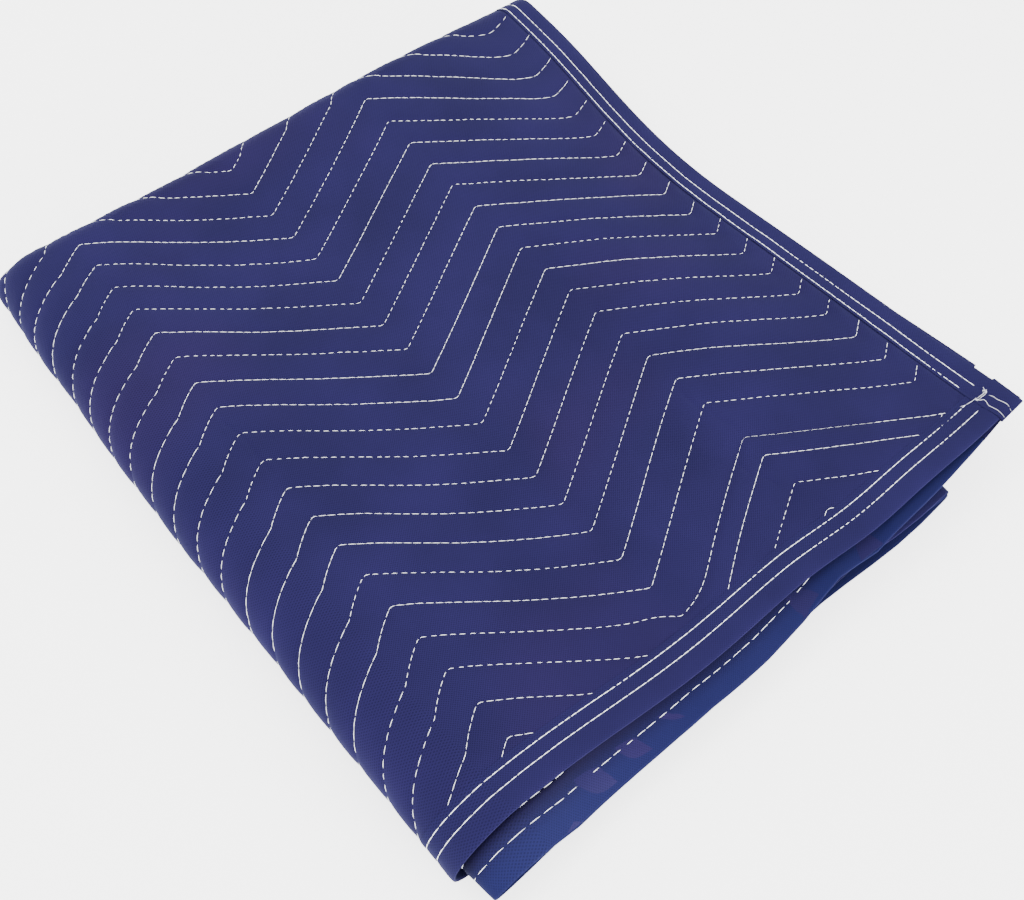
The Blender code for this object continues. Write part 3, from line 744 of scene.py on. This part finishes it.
def make_tape(name, material, stops, spot, lap=0.0):
    """A strip along one edge. spot turns stops and inward distances into flat coordinates.

    lap is how far the strip's own edge is pressed out over the cloth.
    """
    inner = PLY / 2 - BIND_CLOTH
    section = [(BIND_WIDTH, inner, 0)]  # inward, height, and share of the relief
    if lap:
        section += [(BIND_WIDTH + lap, PLY / 2 + height, 0) for height in LAP_HEIGHTS]
    section += [(inward, PLY / 2, 1) for inward in TAPE_LINES]
    section += [(TAPE_TURN, inner, TURN_SHARE), (-WRAP, 0.0, 0), (TAPE_TURN, -inner, -TURN_SHARE)]
    section += [(inward, -PLY / 2, -TAPE_REVERSE) for inward in reversed(TAPE_LINES)]
    section += [(BIND_WIDTH, -inner, 0), (-BIND_GAP, -inner, 0), (-BIND_GAP, inner, 0)]
    count, around = len(stops), len(section)
    inward, base, share = (np.tile(column, count) for column in zip(*section))
    stop = np.repeat(np.array(stops), around)
    across, along = spot(stop, inward)
    points = place(across, along, base + share * tape_relief(inward, stop))
    faces = [tuple(range(around))[::-1], tuple(range((count - 1) * around, count * around))]
    for n in range(0, (count - 1) * around, around):
        for m in range(around):
            k = (m + 1) % around
            faces.append((n + m, n + k, n + around + k, n + around + m))
    return make_object(name, points, faces, material, np.stack([across, along], axis=1), sharp=60)


def right_spot(stop, inward):
    """A place on the right tape, whose folded end is slanted to the side."""
    share = stop / FLAP_LENGTH
    flap = (FLAP_OUT * share - FLAP_IN * (1 - share)) * (1 - ease(stop, FLAP_LENGTH, FLAP_LENGTH + FLAP_STEP))
    return inward - flap * (1 - inward / BIND_WIDTH), stop


def make_tapes(material, hem_painted_shade_and_light_material):
    """The two strips at the right, and then the two at the front."""

    def lines(places, shown_end, step):
        return denser(places, lambda start, stop: step if start < shown_end and stop > 0 else stop - start)

    whole = [-WRAP] + ALONG[1:-1] + [FLAT_ALONG + WRAP]
    right = lines([-TAPE_END] + whole[1:], BACK_END, TAPE_STEP)
    right = sorted(right + [FLAP_LENGTH, FLAP_LENGTH + FLAP_STEP])
    right_inner = lines(whole, FLAT_ALONG - LAST_ALONG, HIDDEN_TAPE_STEP)
    front = lines(ACROSS[2:-2], LEFT_END, TAPE_STEP)
    return [
        make_tape("tape_right_top", material, right, right_spot),
        make_tape("tape_right_inner", material, right_inner,
                  lambda stop, inward: (FLAT_ACROSS - inward, stop)),
        make_tape("tape_front_top", material, front, lambda stop, inward: (stop, inward), TAPE_LAP),
        # the lower hem's tape has painted shade under the top ply's edge and painted light near its own edge
        make_tape("tape_front_inner", hem_painted_shade_and_light_material, front, lambda stop, inward: (stop, FLAT_ALONG - inward)),
    ]


# ---------------------------------------------------------------- stitches

def cut_into_stitches(path, pitch, gaps, seed):
    """Short runs of points along a path on the flat cloth, one for each stitch.

    gaps is the share of the pitch that stays free after a stitch, at each point of the path.
    """
    rng = np.random.default_rng(seed)
    travelled = np.concatenate([[0], np.cumsum(np.linalg.norm(np.diff(path, axis=0), axis=1))])
    count = int(travelled[-1] / pitch)
    if count < 1:
        return np.zeros((0, STITCH_SAMPLES, 2))
    offset = rng.uniform(0, START_SPREAD) + rng.uniform(-STITCH_JITTER, STITCH_JITTER, count)
    start = pitch * (np.arange(count) + offset)
    gap = np.interp(start, travelled, gaps) * rng.uniform(1 - GAP_VARIATION, 1 + GAP_VARIATION, count)
    at = start[:, None] + pitch * (1 - gap)[:, None] * np.linspace(0, 1, STITCH_SAMPLES)[None, :]
    return np.stack([np.interp(at, travelled, path[:, k]) for k in range(2)], axis=2)


def through(stops):
    """A smooth path through stops in mm."""
    stops = np.array(stops) * MM
    stops = np.concatenate([2 * stops[:1] - stops[1:2], stops, 2 * stops[-1:] - stops[-2:-1]])
    at = np.linspace(0, len(stops) - 3 - SAME_PLACE, LOOSE_SAMPLES)
    n = at.astype(int)
    t = (at - n)[:, None]
    a, b, c, d = (stops[n + k] for k in range(4))
    return b + 0.5 * ((c - a) * t + (2 * a - 5 * b + 4 * c - d) * t**2 + (3 * b - a - 3 * c + d) * t**3)


def unit(vectors):
    return vectors / np.linalg.norm(vectors, axis=-1, keepdims=True)


def sew(name, material, stitches, surface, radius, side=1, sides=5):
    """One mesh of short tubes. surface gives the height of the cloth or tape under flat points."""
    count, samples = stitches.shape[:2]
    across, along = stitches[..., 0].ravel(), stitches[..., 1].ravel()
    step = np.linspace(-1, 1, samples)
    arch = np.tile(radius * (STITCH_RISE - STITCH_SINK * step**4), count)
    base = PLY / 2 + surface(across, along)
    on = place(across, along, side * base)
    up = unit(place(across, along, side * (base + MM)) - on)
    centre = (on + up * arch[:, None]).reshape(count, samples, 3)
    up = up.reshape(count, samples, 3)
    beside = unit(np.cross(unit(np.gradient(centre, axis=1)), up))
    thick = (radius * np.sqrt(1 - STITCH_TAPER * step**4))[None, :, None, None]
    angles = np.arange(sides) * 2 * math.pi / sides
    ring = (np.cos(angles)[:, None] * beside[:, :, None, :] + np.sin(angles)[:, None] * up[:, :, None, :])
    points = (centre[:, :, None, :] + thick * ring).reshape(-1, 3)
    tube = []
    for k in range(0, (samples - 1) * sides, sides):
        for m in range(sides):
            n = (m + 1) % sides
            tube.append((k + m, k + n, k + sides + n, k + sides + m))
    tube.append(tuple(range(sides))[::-1])
    tube.append(tuple((samples - 1) * sides + m for m in range(sides)))
    faces = [tuple(n * samples * sides + c for c in face) for n in range(count) for face in tube]
    return make_object(name, points, faces, material, sharp=80)


def seam_stitches(across_low, across_high, along_low, along_high, seed):
    """All the quilting stitches inside a window of the flat cloth, and those of the faint seam."""
    first, last = rows_between(along_low, along_high)
    clear, faint = [], []
    for row in range(first, last + 1):
        across = np.arange(across_low, across_high, PATH_STEP)
        rows = np.full_like(across, row)
        path = np.stack([across, seam_along(across, rows)], axis=1)
        gaps = STITCH_GAP * smooth(0.5 + soft_noise(STITCH_SLACK, across, rows))
        found = cut_into_stitches(path, STITCH_PITCH, gaps, seed + row)
        middles = found[:, 1:3, 1]
        found = found[(middles.min(axis=1) > along_low) & (middles.max(axis=1) < along_high)]
        if row == ODD_SEAM["row"]:
            found = found[found[:, 1, 0] > ODD_SEAM["end"]]
        at = found[:, 1, 0]
        sunk = (row == FAINT_SEAM["row"]) & (at > FAINT_SEAM["low"]) & (at < FAINT_SEAM["high"])
        clear.append(found[~sunk])
        faint.append(found[sunk])
    return np.concatenate(clear), np.concatenate(faint)


def quilt_surface(across, along):
    """Height of the quilted face above the plain ply."""
    return relief(across, along, np.round(row_of(across, along)))


def tape_surface(across, along):
    """The same for the tape, at any edge."""
    side = np.minimum(across, FLAT_ACROSS - across)
    beside = side < BIND_WIDTH
    inward = np.where(beside, side, np.minimum(along, FLAT_ALONG - along))
    return tape_relief(inward, np.where(beside, along, across))


def make_seam_stitches(material):
    """The quilting's stitches, on top of the pile, round its left fold and under it."""
    top_end = TOP_ACROSS + FOURTH.length * LEFT_SPLIT
    top, faint = seam_stitches(SEAM_CLEAR, top_end, SEAM_CLEAR, SEWN_ALONG, seed=100)
    under, _ = seam_stitches(top_end, SECOND_START + SECOND.length, SEAM_CLEAR, SEWN_ALONG, seed=200)
    return [
        sew("seam_stitches_top", material, top, quilt_surface, STITCH_RADIUS),
        sew("seam_stitches_faint", material, faint, quilt_surface, FAINT_SEAM["radius"]),
        sew("seam_stitches_under", material, under, quilt_surface, STITCH_RADIUS, sides=4),
    ]


def make_tape_stitches(material):
    """The loose threads at the right corner, and the two rows on each strip of tape that shows."""

    def row(spot, start, end, seed, pitch=TAPE_STITCH_PITCH, gap=TAPE_STITCH_GAP):
        path = np.stack(spot(np.arange(start, end, PATH_STEP)), axis=1)
        return cut_into_stitches(path, pitch, np.full(len(path), gap), seed)

    runs, hem_runs = [], []
    for n, (inward, start) in enumerate(TAPE_ROWS):
        runs.append(row(lambda stop: (np.full_like(stop, inward), stop), start, SEWN_ALONG, 300 + n))
        runs.append(row(lambda stop: (stop, np.full_like(stop, inward)), FRONT_ROW_START, LEFT_END, 310 + n))
        hem_runs.append(row(lambda stop: (stop, np.full_like(stop, FLAT_ALONG - inward)), FRONT_ROW_START,
                            LEFT_END, 320 + n, HEM_STITCH_PITCH, HEM_STITCH_GAP))
    loose = np.stack([through(stops) for stops in LOOSE_THREADS])
    return [
        sew("loose_threads", material, loose, tape_surface, LOOSE_RADIUS),
        sew("tape_stitches", material, np.concatenate(runs), tape_surface, TAPE_STITCH_RADIUS),
        sew("hem_stitches", material, np.concatenate(hem_runs),
            lambda across, along: TAPE_REVERSE * tape_surface(across, along), HEM_STITCH_RADIUS, side=-1),
    ]


# ---------------------------------------------------------------- materials

class Shader:
    """A material, with short ways to add nodes to it."""

    def __init__(self, name, inputs):
        self.material = bpy.data.materials.new(name)
        self.material.use_nodes = True
        self.nodes = self.material.node_tree.nodes
        self.surface = self.nodes["Principled BSDF"]
        self.feed(self.surface, inputs)

    def feed(self, node, inputs):
        """Set the node's inputs to values, or link them to sockets."""
        for name, value in inputs.items():
            if isinstance(value, bpy.types.NodeSocket):
                self.material.node_tree.links.new(value, node.inputs[name])
            else:
                node.inputs[name].default_value = value

    def noise(self, spot, scale, detail):
        node = self.nodes.new("ShaderNodeTexNoise")
        self.feed(node, {"Vector": spot, "Scale": scale, "Detail": detail})
        return node.outputs["Fac"]

    def maths(self, operation, first, second=0.0):
        node = self.nodes.new("ShaderNodeMath")
        node.operation = operation
        self.feed(node, {0: first, 1: second})
        return node.outputs[0]

    def separate(self, vector):
        node = self.nodes.new("ShaderNodeSeparateXYZ")
        self.feed(node, {"Vector": vector})
        return node.outputs

    def ramp(self, source, start, stop, first, second):
        """Goes from the first colour to the second as source goes from start to stop."""
        node = self.nodes.new("ShaderNodeValToRGB")
        for element, position, colour in zip(node.color_ramp.elements, (start, stop), (first, second)):
            element.position = position
            element.color = (*colour, 1)
        self.feed(node, {"Fac": source})
        return node.outputs["Color"]

    def mix(self, factor, first, second, blend="MIX"):
        node = self.nodes.new("ShaderNodeMix")
        node.data_type = "RGBA"
        node.blend_type = blend
        self.feed(node, {"Factor": factor, "A": first, "B": second})
        return node.outputs["Result"]

    def bump(self, height, strength, distance):
        node = self.nodes.new("ShaderNodeBump")
        self.feed(node, {"Height": height, "Strength": strength, "Distance": distance})
        self.feed(self.surface, {"Normal": node.outputs["Normal"]})


def painted_light_towards_hem(shader, spot):
    """Share of painted light on the lower hem's tape: 0 where the tape begins, in its painted shade, and 1
    near its edge.
    """
    way = shader.nodes.new("ShaderNodeMapRange")
    way.interpolation_type = "SMOOTHSTEP"
    shader.feed(way, {"Value": shader.separate(spot)["Y"],
                      "From Min": FLAT_ALONG - BIND_WIDTH, "From Max": FLAT_ALONG - HEM_PAINTED_LIGHT_EDGE})
    return way.outputs["Result"]


def weave_height(shader, spot):
    """The embossed grid, which runs diagonally to the edges, with its fibres."""
    turned = shader.nodes.new("ShaderNodeMapping")
    shader.feed(turned, {"Vector": spot, "Rotation": (0, 0, math.radians(45)),
                         "Scale": (2 * math.pi / WEAVE_PITCH,) * 3})
    parts = shader.separate(turned.outputs["Vector"])
    grid = shader.maths("MAXIMUM", shader.maths("SINE", parts["X"]), shader.maths("SINE", parts["Y"]))
    return shader.maths("ADD", shader.maths("MULTIPLY", grid, 0.5), shader.noise(spot, FIBRE_SCALE, 3))


def cloth_material(name, blues, painted_light_blue=None):
    """Mottled blue cloth with an embossed grid. The last argument, if given, is the blue of painted light
    that it takes near the lower hem's edge.
    """
    low, high, worn = blues
    shader = Shader(name, {"Roughness": 0.9, "Specular IOR Level": 0.08, "Sheen Weight": 0.05,
                           "Sheen Roughness": 0.45, "Sheen Tint": (*SHEEN_BLUE, 1)})
    flat = shader.nodes.new("ShaderNodeUVMap")
    flat.uv_map = "flat"
    spot = flat.outputs["UV"]
    mottled = shader.ramp(shader.noise(spot, MOTTLE_SCALE, 3), 0.35, 0.65, low, high)
    patches = shader.ramp(shader.noise(spot, PATCH_SCALE, 2), 0.5, 0.72, (0, 0, 0), (1, 1, 1))
    colour = shader.mix(shader.maths("MULTIPLY", patches, PATCH_STRENGTH), mottled, (*worn, 1))
    # painted light: the hem tape turns from its painted shade to a lighter, bluer colour towards its edge
    if painted_light_blue:
        colour = shader.mix(painted_light_towards_hem(shader, spot), colour, (*painted_light_blue, 1))
    weave = weave_height(shader, spot)
    pattern = shader.ramp(weave, 0.1, 1.0, WEAVE_DARK, WEAVE_LIGHT)
    shader.feed(shader.surface, {"Base Color": shader.mix(1.0, colour, pattern, "MULTIPLY")})
    shader.bump(weave, 0.5, 0.12 * MM)
    return shader.material


def thread_material():
    """Off-white thread that glows a little, with the grain of its strands."""
    shader = Shader("thread", {"Roughness": 0.7, "Emission Color": (*THREAD_GLOW_TINT, 1),
                               "Emission Strength": THREAD_GLOW})
    where = shader.nodes.new("ShaderNodeTexCoord")
    grain = shader.noise(where.outputs["Object"], THREAD_GRAIN, 2)
    shader.feed(shader.surface, {"Base Color": shader.ramp(grain, 0, 1, THREAD_DARK, THREAD_LIGHT)})
    shader.bump(grain, 0.4, 0.1 * MM)
    return shader.material


def floor_material():
    """A pale floor, which glows a little, as an overexposed one does."""
    return Shader("pale floor", {"Base Color": (0.9, 0.9, 0.9, 1), "Roughness": 0.9,
                                 "Emission Color": (1, 1, 1, 1), "Emission Strength": FLOOR_GLOW}).material


# ---------------------------------------------------------------- studio

CAMERA_PLACE = (-16.527 * INCH, -16.002 * INCH, 27.708 * INCH)
CAMERA_RIGHT = (0.7493, -0.6574, 0.0800)
CAMERA_UP = (0.4955, 0.6368, 0.5907)
LENS = 47.04
SENSOR = 36
SKY = 2.3
FLOOR_REACH = 6.0
FLOOR_LEVEL = -0.2 * MM
LIGHTS = {
    "key": {"place": (-0.9, 0.6, 1.6), "size": 1.2, "power": 26},
    "fill": {"place": (0.3, -2.2, 0.25), "size": 1.0, "power": 90},
}


def make_camera():
    """The camera, at the photograph's place."""
    data = bpy.data.cameras.new("camera")
    data.sensor_width = SENSOR
    data.lens = LENS
    camera = add_to_scene("camera", data)
    camera.location = CAMERA_PLACE
    right, up = Vector(CAMERA_RIGHT), Vector(CAMERA_UP)
    camera.rotation_mode = "QUATERNION"
    camera.rotation_quaternion = Matrix((right, up, right.cross(up))).transposed().to_quaternion()
    bpy.context.scene.camera = camera


def make_light(name, light_place, size, power):
    """A soft square light that faces the blanket."""
    data = bpy.data.lights.new(name, "AREA")
    data.shape = "SQUARE"
    data.size = size
    data.energy = power
    light = add_to_scene(name, data)
    light.location = light_place
    light.rotation_mode = "QUATERNION"
    light.rotation_quaternion = (-Vector(light_place)).to_track_quat("-Z", "Y")


def make_studio():
    """The floor, an even sky and the lights."""
    mesh = bpy.data.meshes.new("floor")
    signs = ((-1, -1), (1, -1), (1, 1), (-1, 1))
    mesh.from_pydata([(x * FLOOR_REACH, y * FLOOR_REACH, FLOOR_LEVEL) for x, y in signs], [], [(0, 1, 2, 3)])
    mesh.materials.append(floor_material())
    floor = add_to_scene("floor", mesh)
    world = bpy.data.worlds.new("studio")
    bpy.context.scene.world = world
    world.use_nodes = True
    world.node_tree.nodes["Background"].inputs["Color"].default_value = (1, 1, 1, 1)
    world.node_tree.nodes["Background"].inputs["Strength"].default_value = SKY
    for name, light in LIGHTS.items():
        make_light(name, light["place"], light["size"], light["power"])


# ---------------------------------------------------------------- the object

def main():
    """Dress the blanket, and say how the pieces belong to it."""
    quilt = make_quilt(cloth_material("quilted face", FACE_BLUES))
    # the hem tape's material is a darker copy of the tape's, as painted shade, with painted light near the
    # hem's edge
    tapes = make_tapes(cloth_material("tape", TAPE_BLUES),
                       cloth_material("hem tape, painted shade and light", HEM_PAINTED_SHADE_BLUES, painted_light_blue=HEM_PAINTED_LIGHT_BLUE))
    thread = thread_material()
    stitches = make_seam_stitches(thread) + make_tape_stitches(thread)
    for piece in [quilt, *tapes, *stitches]:
        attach(piece, "root")
    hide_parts("quilted_cloth")
    for piece, node in zip(tapes, ("right_top", "right_inner", "front_top", "front_inner")):
        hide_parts("binding_" + node)


make_camera()
make_studio()
main()
